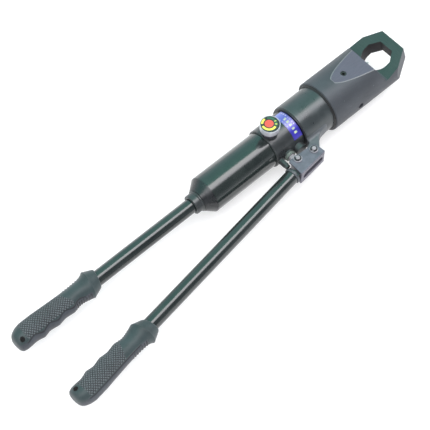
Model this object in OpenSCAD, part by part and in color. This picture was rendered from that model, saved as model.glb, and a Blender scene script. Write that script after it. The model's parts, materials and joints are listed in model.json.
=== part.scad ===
// Hydraulic nut splitter with a closed ring head, a single-acting ram and a two-lever hand pump.
// Frame: millimetres, origin at the centre of the nut window on the ram axis,
// +X out through the tip of the head, +Z up through the release knob.

/* [Head] */
// Radius of the head barrel
head_r = 37.1; // [32:0.1:42]
// Rear end of the head barrel along X
head_back = -109.7; // [-115:0.1:-100]
// Pitch of the ring plate up towards the tip, in degrees
ring_pitch = 17; // [0:0.5:22]
// Half thickness of the ring plate
ring_half = 14; // [12:0.5:18]
// Front face of the tip, measured along the ring plate
tip_e = 34.8; // [30:0.1:40]
// Half width of the tip's front face
tip_half = 19.8; // [14:0.1:26]
// Length of the tip's side faces for each millimetre of width
tip_run = 1.79; // [1:0.01:3]
// Front edge of the slanted flat along X
step_x = -28; // [-32:0.5:-24]
// Height of the slanted flat at its front edge
step_z = 30.5; // [24:0.5:34]
// Where the ring plate leaves the barrel
root_x = -18; // [-20:0.5:-16]
// Where the slanted flat starts
slant_x = -86; // [-95:0.5:-70]

/* [Nut window] */
// Half width of the window
win_half = 19.6; // [16:0.1:21]
// Rear end of the window, measured along the ring plate
win_back = -17.6; // [-19:0.1:-15]
// Front wall of the window, measured along the ring plate
win_front = 22; // [18:0.1:24]
// Half width of the front wall
win_nose = 10.6; // [6:0.1:14]
// Where the front chamfers start
win_chamfer = 8.3; // [4:0.1:12]

/* [Ram] */
// Outer radius of the ram cylinder
cyl_r = 32.45; // [28:0.05:36]
// Bore radius of the ram cylinder
bore_r = 25; // [20:0.5:27]
// Radius of the ram rod
rod_r = 14; // [10:0.5:15]
// Radius of the blade guide bore in the head
guide_r = 15.4; // [14.2:0.1:15.6]
// Rest position of the blade's cutting edge
edge_x = -16; // [-19:0.5:-14]
// Radial clearance of sliding fits
fit = 0.08; // [0.02:0.01:0.1]

/* [Valve block] */
// Radius of the valve block
block_r = 28; // [25:0.5:31]
// Rear face of the valve block
block_back = -208.5; // [-214:0.5:-204]
// Front face of the valve block
block_front = -161; // [-164:0.5:-158]
// Position of the release valve along X
release_x = -198.7; // [-202:0.1:-194]
// Radius of the release knob
knob_r = 13.3; // [10:0.1:16]
// Top of the release knob
knob_top = 49.6; // [44:0.1:54]

/* [Reservoir] */
// Outer radius of the reservoir tube
tank_r = 25.9; // [22:0.1:28]
// Rear end of the reservoir tube
tank_back = -310; // [-330:1:-290]
// Wall of the reservoir tube
tank_wall = 1.9; // [1.2:0.1:3]

/* [Handles] */
// Outer radius of both lever tubes
tube_r = 10; // [8:0.5:12]
// Wall of the lever tubes
tube_wall = 2; // [1:0.1:3]
// Length of a grip
grip_len = 131.4; // [110:0.1:150]
// Rear end of the fixed grip
grip_back = -620.4; // [-660:0.1:-560]
// Distance from the pivot to the front of the pump grip
pump_reach = 320.3; // [260:0.1:360]
// Opening angle of the pump lever as stored
lever_open = 7.66; // [0:0.1:12]
// Radius of the hang holes
hang_r = 3.2; // [2:0.1:4]

/* [Pump linkage] */
// Pivot pin along X
pivot_x = -165.5; // [-170:0.1:-160]
// Pivot pin along Y
pivot_y = -48.9; // [-56:0.1:-44]
// Radius of the pivot and drive pins
pin_r = 3; // [2.5:0.5:4]
// Radius of the pump plunger
plunger_r = 5; // [4:0.5:6]

/* [Hidden] */

spigot_r = 29.6;
spigot_end = -58;
seal_depth = 2.5;
screw_x = -65.5;
screw_r = 4.25;
cyl_back = block_front + 1.5;
cyl_floor = -150;
nipple_r = 10.5;
nipple_end = -151;
port_y = 3.5;
piston_back = -149;
piston_front = -131;
rod_front = -45;
plunger_x = -189.4;
bleed_x = -203.6;
drive_x = -24.5;
drive_y = 7;
tank_r_in = tank_r - tank_wall;
tank_spigot_end = -222;
cap_back = -323;
plate_in = 8.5;
plate_out = 12;
hang_g = 8.5;
hang_side = 8;

// Turned solid about the X axis; each point is [radius, x].
module lathe(points) {
    rotate([0, 90, 0]) rotate_extrude($fn = 96) polygon(points);
}

// Round bar or hole along X.
module rod_x(x0, x1, r) {
    translate([x0, 0, 0]) rotate([0, 90, 0]) cylinder(r = r, h = x1 - x0, $fn = 96);
}

// Tube along X.
module tube_x(x0, x1, r_out, r_in) {
    difference() {
        rod_x(x0, x1, r_out);
        rod_x(x0 - 1, x1 + 1, r_in);
    }
}

// Round bar or hole along Y.
module rod_y(y0, y1, r) {
    translate([0, y1, 0]) rotate([90, 0, 0]) cylinder(r = r, h = y1 - y0, $fn = 64);
}

// Doughnut about the Z axis.
module torus(r, w) {
    rotate_extrude($fn = 64) translate([r, 0]) circle(r = w, $fn = 32);
}

// Point on a coil's wire: t in turns, a around the wire's own section.
function coil_point(r, w, h, turns, t, a) =
    [(r + w * cos(a)) * cos(360 * t), (r + w * cos(a)) * sin(360 * t),
     w + (h - 2 * w) * t / turns + w * sin(a)];

// Open coil spring along Z, standing on z = 0.
module coil(r, w, h, turns, per_turn) {
    sides = 8;
    last = turns * per_turn;
    polyhedron(
        points = [for (i = [0 : last], k = [0 : sides - 1])
            coil_point(r, w, h, turns, i / per_turn, 360 * k / sides)],
        faces = concat(
            [[for (k = [0 : sides - 1]) k]],
            [[for (k = [sides - 1 : -1 : 0]) last * sides + k]],
            [for (i = [0 : last - 1], k = [0 : sides - 1])
                [i * sides + k, (i + 1) * sides + k,
                 (i + 1) * sides + (k + 1) % sides]],
            [for (i = [0 : last - 1], k = [0 : sides - 1])
                [i * sides + k, (i + 1) * sides + (k + 1) % sides,
                 i * sides + (k + 1) % sides]]));
}

// Retaining clip with an open gap, flat on z = 0.
module clip(r_in, r_out, t) {
    difference() {
        cylinder(r = r_out, h = t, $fn = 48);
        translate([0, 0, -1]) cylinder(r = r_in, h = t + 2, $fn = 48);
        translate([0, -1.6, -1]) cube([r_out + 1, 3.2, t + 2]);
    }
}

// Places its children on the pump lever, measured from the pivot pin.
module on_lever() {
    translate([pivot_x, pivot_y, 0]) rotate([0, 0, lever_open]) children();
}

// Prism through the pitched ring plate, from an outline in the plane of the plate.
module through_ring() {
    rotate([0, -ring_pitch, 0]) translate([0, 0, -80]) linear_extrude(height = 200) children();
}

// Outline of the ring plate: a blunt tip between two side faces.
module ring_outline() {
    wide = head_r + 10;
    side = tip_e - (wide - tip_half) * tip_run;
    polygon([[-200, -wide], [side, -wide], [tip_e, -tip_half],
             [tip_e, tip_half], [side, wide], [-200, wide]]);
}

// Outline of the nut window: chamfered towards the tip, round at the rear.
module window_outline() {
    polygon(concat(
        [[win_chamfer, -win_half], [win_front, -win_nose],
         [win_front, win_nose], [win_chamfer, win_half]],
        [for (a = [90 : 10 : 270])
            [win_back + win_half + win_half * cos(a), win_half * sin(a)]]));
}

// Material removed outside the slanted flat, the step and the ring plate, on the side s.
module head_flat_cut(s) {
    face = ring_half / cos(ring_pitch);
    foot = face + s * root_x * tan(ring_pitch);
    out = 60;
    translate([0, 50, 0]) rotate([90, 0, 0]) linear_extrude(height = 100)
        polygon([[slant_x, s * (head_r - 0.15)], [step_x, s * step_z],
                 [root_x - 2, s * (foot + 4)], [root_x, s * (foot + 1.2)],
                 [root_x + 3, s * face + (root_x + 3) * tan(ring_pitch)],
                 [out, s * face + out * tan(ring_pitch)],
                 [out, s * (out + 5)], [slant_x, s * (out + 5)]]);
}

// The whole forging: barrel, slanted flats, ring plate and nut window.
module head_forging() {
    difference() {
        intersection() {
            lathe([[0, 60], [head_r, 60], [head_r, head_back + 1], [head_r - 1, head_back],
                   [35, head_back], [35, head_back + seal_depth],
                   [spigot_r, head_back + seal_depth], [spigot_r, spigot_end + 1],
                   [guide_r, spigot_end + 1], [guide_r, 0], [0, 0]]);
            through_ring() ring_outline();
        }
        head_flat_cut(1);
        head_flat_cut(-1);
        through_ring() window_outline();
        for (a = [0, 90, 180, 270]) rotate([a, 0, 0])
            translate([screw_x, 0, spigot_r - 2]) cylinder(r = screw_r, h = 14, $fn = 48);
    }
}

// Space in front of the root of the ring plate, where the forging is split in two.
module ring_side() {
    translate([root_x, -60, -60]) cube([120, 120, 120]);
}

module head() {
    color([0.22, 0.25, 0.27]) difference() {
        head_forging();
        ring_side();
    }
}

module ring_plate() {
    color([0.2, 0.28, 0.28]) intersection() {
        head_forging();
        ring_side();
    }
}

module head_screws() {
    color([0.15, 0.15, 0.16]) for (a = [0, 90, 180, 270]) rotate([a, 0, 0])
        translate([screw_x, 0, spigot_r - 2]) difference() {
            cylinder(r = screw_r, h = 6, $fn = 48);
            translate([0, 0, 2.5]) cylinder(r = 2.3, h = 4, $fn = 6);
        }
}

module head_seal() {
    color([0.05, 0.05, 0.05]) tube_x(head_back - 0.4, head_back + seal_depth, 34.98, cyl_r);
}

module pivot_lug() {
    difference() {
        translate([0, 0, -plate_in + 0.35]) linear_extrude(height = 2 * plate_in - 0.7)
            union() {
                polygon([[-141, -26], [-141, -31.5], [-147.5, -36], [-157.6, -51.4],
                         [-173.3, -46.4], [-168.5, -38.5], [cyl_back, -35.5],
                         [cyl_back, -26]]);
                translate([pivot_x, pivot_y]) circle(r = 8.3, $fn = 64);
            }
        translate([pivot_x, pivot_y, -20]) cylinder(r = pin_r, h = 40, $fn = 48);
        rod_x(cyl_floor, -130, bore_r + 0.5);
    }
}

module ram_cylinder() {
    color([0.27, 0.29, 0.31]) {
        difference() {
            union() {
                lathe([[nipple_r, cyl_back], [cyl_r - 0.8, cyl_back], [cyl_r, cyl_back + 0.8],
                       [cyl_r, head_back + seal_depth], [spigot_r, head_back + seal_depth],
                       [spigot_r, spigot_end], [bore_r, spigot_end], [bore_r, cyl_floor],
                       [nipple_r, cyl_floor]]);
                pivot_lug();
            }
            for (a = [0, 90, 180, 270]) rotate([a, 0, 0])
                translate([screw_x, 0, spigot_r - 2]) cylinder(r = screw_r, h = 4, $fn = 48);
        }
    }
}

module lock_ring() {
    color([0.7, 0.7, 0.68]) tube_x(block_front, cyl_back, 31.6, nipple_r);
}

module valve_block() {
    color([0.2, 0.21, 0.22]) difference() {
        union() {
            lathe([[0, block_back], [block_r - 0.8, block_back], [block_r, block_back + 0.8],
                   [block_r, block_front - 0.8], [block_r - 0.8, block_front],
                   [0, block_front]]);
            rod_x(tank_spigot_end, block_back + 1, tank_r_in - 0.06);
            rod_x(-232, tank_spigot_end + 1, 18.94);
            rod_x(block_front - 1, nipple_end, nipple_r - 0.06);
            translate([plunger_x, 0, 0]) rod_y(-28.6, -20, 8.6);
            // Outlet valve boss beside the plunger.
            translate([-172, 0, 0]) rod_y(-34.5, -20, 8.5);
            translate([release_x, 0, 20]) cylinder(r = 10.5, h = 9.4, $fn = 64);
            translate([bleed_x, 0, 0]) rod_y(-30, -20, 4.6);
        }
        // Pump chamber, plunger seal pocket and gland thread.
        translate([plunger_x, 0, 0]) rod_y(-32, 8, plunger_r + fit);
        translate([plunger_x, 0, 0]) rod_y(-32, -20, 6.6);
        // Inlet passage with its ball seat, open to the reservoir.
        translate([0, port_y, 0]) rod_x(-233, -206, 3.2);
        translate([0, port_y, 0]) rod_x(-207, plunger_x, 1.5);
        // Outlet passage with its ball seat, open to the ram cylinder.
        translate([0, port_y, 0]) rod_x(plunger_x, -177, 1.5);
        translate([0, port_y, 0]) rod_x(-178, -150, 3.2);
        // Relief valve bore from below.
        translate([-172, port_y, -29]) cylinder(r = 3.2, h = 17, $fn = 48);
        translate([-172, port_y, -29]) cylinder(r = 4.4, h = 6, $fn = 48);
        translate([-172, port_y, -13]) cylinder(r = 1.2, h = 11, $fn = 32);
        // Release valve bore with its feed and return passages.
        translate([release_x, 0, 10.5]) cylinder(r = 4 + fit, h = 20, $fn = 48);
        translate([release_x, 0, 7.9]) cylinder(r = 1.5, h = 4, $fn = 32);
        translate([0, 0, 7.9]) rod_x(release_x, -150, 1.2);
        translate([0, 0, 14]) rod_x(-223, release_x, 1.5);
        // Bleed screw hole.
        translate([bleed_x, 0, 0]) rod_y(-31, -14, 2.6);
        // Groove for the reservoir ring.
        translate([-218.4, 0, 0]) rotate([0, 90, 0]) difference() {
            cylinder(r = 26, h = 3.4, $fn = 96);
            translate([0, 0, -1]) cylinder(r = tank_r_in - 2.35, h = 6, $fn = 96);
        }
    }
}

module block_label() {
    color([0.13, 0.2, 0.75]) rotate([0, -90, 180]) translate([0, 0, -176])
        rotate([0, 0, -38]) rotate_extrude(angle = 96, $fn = 96)
            translate([block_r, 0]) square([0.25, 14.2]);
}

module reservoir_tube() {
    color([0.04, 0.05, 0.05]) tube_x(tank_back, block_back, tank_r, tank_r_in);
}

module tank_oring() {
    color([0.05, 0.05, 0.05]) translate([-216.7, 0, 0]) rotate([0, 90, 0])
        torus(tank_r_in - 1.15, 1.1);
}

module bladder() {
    color([0.1, 0.1, 0.1])
        lathe([[19, -223], [21, -223], [21, -288], [17, -294], [0, -297], [0, -295],
               [16, -292.2], [19, -287.5]]);
}

module end_cap() {
    color([0.12, 0.13, 0.13])
        lathe([[tube_r, cap_back], [16.2, cap_back], [17, cap_back + 0.8],
               [tank_r, tank_back - 0.8], [tank_r, tank_back], [tank_r_in, tank_back],
               [tank_r_in, tank_back + 9], [tank_r_in - 3, tank_back + 9],
               [13, tank_back + 2], [tube_r, tank_back + 2]]);
}

module collar_nut() {
    color([0.07, 0.08, 0.08])
        lathe([[tube_r, cap_back - 11], [13, cap_back - 11], [13.6, cap_back - 10.4],
               [13.6, cap_back - 2.2], [15.4, cap_back - 1.6], [15.4, cap_back],
               [tube_r, cap_back]]);
}

module fixed_tube() {
    color([0.04, 0.06, 0.05])
        tube_x(grip_back + 15.5, tank_back + 2, tube_r, tube_r - tube_wall);
}

// Ribbed disc pushed into the end of a lever tube.
module tube_plug(x0) {
    lathe([[0, x0], [tube_r - 0.2, x0], [tube_r - 0.2, x0 + 1.2], [tube_r - tube_wall, x0 + 1.2],
           [tube_r - tube_wall, x0 + 9], [5, x0 + 9], [5, x0 + 3], [0, x0 + 3]]);
}

module fixed_plug() {
    color([0.1, 0.1, 0.1]) tube_plug(grip_back + 14.3);
}

// Moulded grip along +X from its rear end, finger side towards -Y.
module grip_body() {
    difference() {
        lathe([[0, 0], [9, 0.3], [12.6, 2.2], [14.8, 6], [15.9, 12], [16.1, 30], [15.6, 55],
               [14.8, 80], [14.4, 98], [15.6, 106], [18.2, 114], [19.2, 119], [18.6, 124],
               [14.6, 130], [12, grip_len], [tube_r, grip_len], [tube_r, 15.5],
               [tube_r - 0.2, 15.5], [tube_r - 0.2, 14.3], [0, 14.3]]);
        for (g = [22.4, 46.4, 70.4, 94.4])
            translate([g, -27.4 + 0.012 * g, -30]) cylinder(r = 13, h = 60, $fn = 64);
        translate([hang_g, -hang_side, -30]) cylinder(r = hang_r, h = 60, $fn = 48);
    }
}

module fixed_grip() {
    color([0.24, 0.29, 0.29]) translate([grip_back, 0, 0]) grip_body();
}

module suction_tube() {
    color([0.7, 0.6, 0.3]) translate([0, port_y, 0]) difference() {
        union() {
            rod_x(-246, -222, 2.2);
            rod_x(-232, -219.5, 3.2);
        }
        rod_x(-247, -219, 1.3);
    }
}

module suction_filter() {
    color([0.75, 0.7, 0.5]) translate([0, port_y, 0]) difference() {
        rod_x(-262, -242, 5);
        rod_x(-260.5, -246, 3.6);
        rod_x(-247, -241, 2.2);
        for (x = [-258, -254, -250]) {
            translate([x, -6, -1.5]) cube([1.6, 12, 3]);
            translate([x, -1.5, -6]) cube([1.6, 3, 12]);
        }
    }
}

module inlet_ball() {
    color([0.8, 0.8, 0.8]) translate([-208.4, port_y, 0]) sphere(r = 2.4, $fn = 48);
}

module inlet_spring() {
    color([0.6, 0.6, 0.6]) translate([-219.5, port_y, 0]) rotate([0, 90, 0])
        coil(2.2, 0.4, 9, 5, 14);
}

module outlet_ball() {
    color([0.8, 0.8, 0.8]) translate([-175.6, port_y, 0]) sphere(r = 2.4, $fn = 48);
}

module outlet_spring() {
    color([0.6, 0.6, 0.6]) translate([-173.6, port_y, 0]) rotate([0, 90, 0])
        coil(2.2, 0.4, 21, 7, 14);
}

module relief_ball() {
    color([0.8, 0.8, 0.8]) translate([-172, port_y, -14.4]) sphere(r = 2.4, $fn = 48);
}

module relief_spring() {
    color([0.6, 0.6, 0.6]) translate([-172, port_y, -23]) coil(2.2, 0.4, 6.5, 4, 14);
}

module relief_plug() {
    color([0.4, 0.4, 0.42]) translate([-172, port_y, -29]) difference() {
        cylinder(r = 4.4, h = 6, $fn = 48);
        translate([0, 0, -1]) cylinder(r = 2.3, h = 4, $fn = 6);
    }
}

module bleed_plug() {
    color([0.35, 0.4, 0.38]) translate([bleed_x, 0, 0]) {
        rod_y(-34, -16, 2.6);
        translate([0, -30, 0]) rotate([90, 0, 0]) cylinder(r = 4.5, h = 8, $fn = 6);
        rod_y(-42, -37, 3.6);
    }
}

module bonnet_nut() {
    color([0.45, 0.45, 0.43]) translate([release_x, 0, 29.4]) difference() {
        cylinder(r = 9.4, h = 3.4, $fn = 6);
        translate([0, 0, -1]) cylinder(r = 4 + fit, h = 6, $fn = 48);
    }
}

module plunger_seal() {
    color([0.05, 0.05, 0.05]) translate([plunger_x, 0, 0]) difference() {
        rod_y(-23, -20, 6.6);
        rod_y(-24, -19, plunger_r + fit);
    }
}

module gland_nut() {
    color([0.35, 0.45, 0.4]) translate([plunger_x, 0, 0]) difference() {
        union() {
            rod_y(-28.6, -23, 6.6);
            rod_y(-32.4, -28.6, 7.4);
        }
        rod_y(-34, -22, plunger_r + fit);
        for (a = [0 : 20 : 340]) rotate([0, a, 0])
            translate([7.7, 0, 0]) rod_y(-34, -28.6, 0.6);
    }
}

module pivot_pin() {
    color([0.6, 0.6, 0.62]) translate([pivot_x, pivot_y, -15.8]) difference() {
        union() {
            translate([0, 0, 0.5]) cylinder(r = pin_r, h = 30.6, $fn = 48);
            cylinder(r = pin_r - 0.5, h = 31.6, $fn = 48);
        }
        for (z = [1.4, 29]) translate([0, 0, z]) clip_groove();
    }
}

// Ring-shaped cutter for a retaining clip groove.
module clip_groove() {
    difference() {
        cylinder(r = pin_r + 1, h = 1.2, $fn = 48);
        translate([0, 0, -1]) cylinder(r = pin_r - 0.7, h = 4, $fn = 48);
    }
}

// Upper and lower clips with their washers on a pin.
module pin_clips() {
    for (s = [0, 1]) mirror([0, 0, s]) {
        translate([0, 0, plate_out + 0.05]) difference() {
            cylinder(r = 5.8, h = 1.15, $fn = 64);
            translate([0, 0, -1]) cylinder(r = pin_r, h = 4, $fn = 48);
        }
        translate([0, 0, plate_out + 1.2]) rotate([0, 0, 200])
            clip(pin_r - 0.7, 4.6, 1.2);
    }
}

module pivot_clips() {
    color([0.55, 0.55, 0.57]) translate([pivot_x, pivot_y, 0]) pin_clips();
}

module piston() {
    color([0.6, 0.6, 0.62])
        lathe([[0, piston_back], [bore_r - 1, piston_back], [bore_r - fit, piston_back + 1],
               [bore_r - fit, -145], [21.5, -145], [21.5, -140.5], [bore_r - fit, -140.5],
               [bore_r - fit, -137], [23.5, -137], [23.5, -133.5], [bore_r - fit, -133.5],
               [bore_r - fit, piston_front], [8, piston_front], [8, -143], [0, -143]]);
}

module piston_seal() {
    color([0.1, 0.2, 0.5]) tube_x(-145, -140.5, bore_r - 0.04, 21.5);
}

module wear_ring() {
    color([0.8, 0.75, 0.6]) tube_x(-137, -133.5, bore_r - 0.05, 23.5);
}

module ram_rod() {
    color([0.7, 0.7, 0.72]) difference() {
        union() {
            rod_x(-143, piston_front, 8);
            rod_x(piston_front, rod_front, rod_r);
        }
        rod_x(-60, rod_front + 1, 6);
        translate([-52, 0, 5]) cylinder(r = 2.5, h = 12, $fn = 32);
    }
}

module blade() {
    color([0.55, 0.56, 0.58]) intersection() {
        union() {
            rod_x(rod_front, edge_x + 1, guide_r - fit);
            rod_x(-60, rod_front + 1, 5.94);
        }
        translate([0, 0, -14.6]) linear_extrude(height = 29.2)
            polygon([[-61, -16], [-34, -16], [-31, -9], [edge_x, -0.4], [edge_x, 0.4],
                     [-31, 9], [-34, 16], [-61, 16]]);
    }
}

module blade_screw() {
    color([0.2, 0.2, 0.2]) translate([-52, 0, 6]) difference() {
        cylinder(r = 2.5, h = 7.4, $fn = 32);
        translate([0, 0, 4.5]) cylinder(r = 1.4, h = 4, $fn = 6);
    }
}

module return_spring() {
    color([0.5, 0.5, 0.52]) translate([piston_front + 0.1, 0, 0]) rotate([0, 90, 0])
        coil(19.6, 1.8, spigot_end - piston_front + 0.8, 7, 20);
}

module knob() {
    color([0.85, 0.85, 0.85]) translate([release_x, 0, 0]) difference() {
        union() {
            translate([0, 0, knob_top - 10]) cylinder(r = knob_r, h = 10, $fn = 96);
            translate([0, 0, 34]) cylinder(r = 7.5, h = 8, $fn = 64);
        }
        translate([0, 0, 33]) cylinder(r = 4, h = 9, $fn = 48);
        translate([0, 0, knob_top - 0.6]) cylinder(r = knob_r - 0.7, h = 2, $fn = 96);
        for (a = [0 : 12 : 348]) rotate([0, 0, a])
            translate([knob_r + 0.35, 0, 30]) cylinder(r = 0.7, h = 30, $fn = 16);
    }
}

module knob_label() {
    color([0.08, 0.08, 0.08]) translate([release_x, 0, knob_top - 0.6])
        cylinder(r = knob_r - 0.7, h = 0.4, $fn = 96);
}

module valve_stem() {
    color([0.65, 0.65, 0.66]) translate([release_x, 0, 0]) difference() {
        union() {
            translate([0, 0, 10.6]) cylinder(r = 2.2, h = 7, $fn = 48);
            translate([0, 0, 17]) cylinder(r = 4, h = 25, $fn = 48);
        }
        translate([0, 0, 21]) difference() {
            cylinder(r = 5, h = 2.4, $fn = 48);
            translate([0, 0, -1]) cylinder(r = 2.9, h = 5, $fn = 48);
        }
    }
}

module stem_oring() {
    color([0.05, 0.05, 0.05]) translate([release_x, 0, 21]) difference() {
        cylinder(r = 4.04, h = 2.4, $fn = 48);
        translate([0, 0, -1]) cylinder(r = 2.9, h = 5, $fn = 48);
    }
}

module plunger() {
    eye_y = pivot_y + drive_x * sin(lever_open) + drive_y * cos(lever_open);
    slot_half = 2.2;
    slot_r = pin_r + 0.5;
    color([0.7, 0.7, 0.72]) translate([plunger_x, 0, 0]) difference() {
        union() {
            rod_y(eye_y, -4.4, plunger_r);
            translate([0, eye_y, -6.8]) linear_extrude(height = 13.6) union() {
                translate([-3.4, -6.5]) square([6.8, 13]);
                for (s = [-3.4, 3.4]) translate([s, 0]) circle(r = 6.5, $fn = 64);
            }
        }
        translate([0, eye_y, -10]) linear_extrude(height = 20) union() {
            translate([-slot_half, -slot_r]) square([2 * slot_half, 2 * slot_r]);
            for (s = [-slot_half, slot_half]) translate([s, 0]) circle(r = slot_r, $fn = 64);
        }
    }
}

module bracket() {
    color([0.42, 0.45, 0.46]) on_lever() difference() {
        translate([0, 0, -plate_out]) linear_extrude(height = 2 * plate_out)
            polygon([[-39.2, -10.7], [-38.2, -11.8], [6.4, -13], [7.4, -12], [8.1, 4.6],
                     [7.1, 5.8], [-33.6, 13.4], [-35.2, 12.4]]);
        // Space between the two plates.
        translate([0, 0, -plate_in]) linear_extrude(height = 2 * plate_in)
            polygon([[-45, -8.3], [12, -9.6], [12, 20], [-45, 20]]);
        // Long slot through the outer web.
        translate([-30, -20, -5.2]) cube([28, 14, 10.4]);
        for (s = [-30, -2]) translate([s, -20, 0]) rotate([-90, 0, 0])
            cylinder(r = 5.2, h = 14, $fn = 48);
        translate([0, 0, -20]) cylinder(r = pin_r + fit, h = 40, $fn = 48);
        translate([drive_x, drive_y, -20]) cylinder(r = pin_r, h = 40, $fn = 48);
    }
}

module lever_socket() {
    color([0.2, 0.22, 0.22]) on_lever() difference() {
        union() {
            rod_x(-45, -41, 10.4);
            translate([-43, -8.3, -plate_in]) linear_extrude(height = 2 * plate_in)
                polygon([[0, 0], [8.5, -0.2], [8.5, 3.5], [5.5, 8.3], [0, 16.3]]);
        }
        rod_x(-46, -43.4, tube_r - tube_wall);
    }
}

module drive_pin() {
    color([0.6, 0.6, 0.62]) on_lever() translate([drive_x, drive_y, -15.8]) difference() {
        union() {
            translate([0, 0, 0.5]) cylinder(r = pin_r, h = 30.6, $fn = 48);
            cylinder(r = pin_r - 0.5, h = 31.6, $fn = 48);
        }
        for (z = [1.4, 29]) translate([0, 0, z]) clip_groove();
    }
}

module drive_clips() {
    color([0.55, 0.55, 0.57]) on_lever() translate([drive_x, drive_y, 0])
        for (s = [0, 1]) mirror([0, 0, s]) {
            translate([0, 0, plate_out]) difference() {
                cylinder(r = 5.8, h = 1.2, $fn = 64);
                translate([0, 0, -1]) cylinder(r = pin_r, h = 4, $fn = 48);
            }
            translate([0, 0, plate_out + 1.2]) rotate([0, 0, 80])
                clip(pin_r - 0.7, 4.6, 1.2);
        }
}

module pump_tube() {
    color([0.04, 0.06, 0.05]) on_lever()
        tube_x(-pump_reach - grip_len + 15.5, -45, tube_r, tube_r - tube_wall);
}

module pump_plug() {
    color([0.1, 0.1, 0.1]) on_lever() tube_plug(-pump_reach - grip_len + 14.3);
}

module pump_grip() {
    color([0.24, 0.29, 0.29]) on_lever() translate([-pump_reach - grip_len, 0, 0])
        mirror([0, 1, 0]) grip_body();
}

head();
ring_plate();
head_screws();
head_seal();
ram_cylinder();
lock_ring();
valve_block();
block_label();
reservoir_tube();
tank_oring();
bladder();
end_cap();
collar_nut();
fixed_tube();
fixed_plug();
fixed_grip();
suction_tube();
suction_filter();
inlet_ball();
inlet_spring();
outlet_ball();
outlet_spring();
relief_ball();
relief_spring();
relief_plug();
bleed_plug();
bonnet_nut();
plunger_seal();
gland_nut();
pivot_pin();
pivot_clips();
piston();
piston_seal();
wear_ring();
ram_rod();
blade();
blade_screw();
return_spring();
knob();
knob_label();
valve_stem();
stem_oring();
plunger();
bracket();
lever_socket();
drive_pin();
drive_clips();
pump_tube();
pump_plug();
pump_grip();
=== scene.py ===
import json
import math

import bmesh
import bpy
import numpy as np
from mathutils import Matrix, Vector


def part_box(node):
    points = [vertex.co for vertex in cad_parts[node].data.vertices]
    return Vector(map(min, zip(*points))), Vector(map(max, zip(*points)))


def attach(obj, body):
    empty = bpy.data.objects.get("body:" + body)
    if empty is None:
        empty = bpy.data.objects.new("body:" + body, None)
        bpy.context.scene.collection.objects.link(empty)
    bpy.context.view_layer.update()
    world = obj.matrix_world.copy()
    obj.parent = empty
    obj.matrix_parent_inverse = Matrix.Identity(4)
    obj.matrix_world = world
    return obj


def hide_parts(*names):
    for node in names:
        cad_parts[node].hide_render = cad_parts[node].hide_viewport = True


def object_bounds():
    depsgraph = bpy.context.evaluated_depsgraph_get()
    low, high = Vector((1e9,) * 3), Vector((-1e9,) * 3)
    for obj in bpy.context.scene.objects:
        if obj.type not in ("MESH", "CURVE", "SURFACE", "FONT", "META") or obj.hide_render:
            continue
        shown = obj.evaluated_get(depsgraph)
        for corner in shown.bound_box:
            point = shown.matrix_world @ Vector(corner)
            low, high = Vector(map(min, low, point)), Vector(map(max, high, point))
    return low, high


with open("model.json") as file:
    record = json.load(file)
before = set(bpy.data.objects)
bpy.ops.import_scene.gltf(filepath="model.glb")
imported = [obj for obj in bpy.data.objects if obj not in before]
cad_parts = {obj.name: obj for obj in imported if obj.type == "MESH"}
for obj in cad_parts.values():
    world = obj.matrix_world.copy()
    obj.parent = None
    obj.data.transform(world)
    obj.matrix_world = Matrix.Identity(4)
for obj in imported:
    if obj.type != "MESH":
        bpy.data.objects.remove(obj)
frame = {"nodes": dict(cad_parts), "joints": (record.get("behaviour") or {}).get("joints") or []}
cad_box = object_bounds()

MM = 0.001
NODES = frame["nodes"]
SCENE = bpy.context.scene

# ---------------------------------------------------------------- places taken from the frame
joints = {j["name"]: j for j in frame["joints"]}
pivot = Vector(joints["lever_swing"]["pos_m"])
release_axis = Vector(joints["release_turn"]["pos_m"])
head_lo, head_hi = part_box("head")
tank_lo, tank_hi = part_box("reservoir_tube")
cap_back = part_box("end_cap")[0].x / MM
collar_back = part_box("collar_nut")[0].x / MM
grip_lo, grip_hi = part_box("fixed_grip")
tube_lo, tube_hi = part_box("fixed_tube")
knob_lo, knob_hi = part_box("knob")
head_back, head_r = head_lo.x / MM, head_hi.y / MM
tube_r = tube_hi.z / MM
grip_len = (grip_hi.x - grip_lo.x) / MM
LEVER_TURN = math.radians(7.66)  # how far the pump lever stands open at rest
lever_frame = Matrix.Translation(pivot) @ Matrix.Rotation(LEVER_TURN, 4, "Z")


def in_scene(name, data):
    """A new object in the scene."""
    obj = bpy.data.objects.new(name, data)
    SCENE.collection.objects.link(obj)
    return obj


# ---------------------------------------------------------------- camera
# A long lens, placed and turned to match the photo.
cam_data = bpy.data.cameras.new("view")
cam_data.lens = 122.32
cam_data.sensor_width = 36
cam_data.clip_end = 50
cam = in_scene("view", cam_data)
right = Vector((0.7390068, -0.6736913, 0.0030095))
up = Vector((0.5813366, 0.6399430, 0.5025144))
view = Matrix((right, up, right.cross(up))).transposed().to_4x4()
cam.matrix_world = Matrix.Translation((-0.950144, -0.713443, 1.597358)) @ view
SCENE.camera = cam


# ---------------------------------------------------------------- material building
def add_node(tree, kind, inputs=(), **props):
    """A shader node; its inputs take numbers, colours or the outputs of other nodes."""
    node = tree.nodes.new(kind)
    for key, value in props.items():
        setattr(node, key, value)
    for key, value in dict(inputs).items():
        if isinstance(value, bpy.types.NodeSocket):
            tree.links.new(value, node.inputs[key])
        else:
            node.inputs[key].default_value = value
    return node


def fill_ramp(node, stops):
    """Gives a colour ramp its stops, each (position, colour), and returns its colour output."""
    cells = node.color_ramp.elements
    while len(cells) > 1:
        cells.remove(cells[-1])
    cells[0].position, cells[0].color = stops[0][0], (*stops[0][1], 1)
    for place, color in stops[1:]:
        cells.new(place).color = (*color, 1)
    return node.outputs["Color"]


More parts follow.
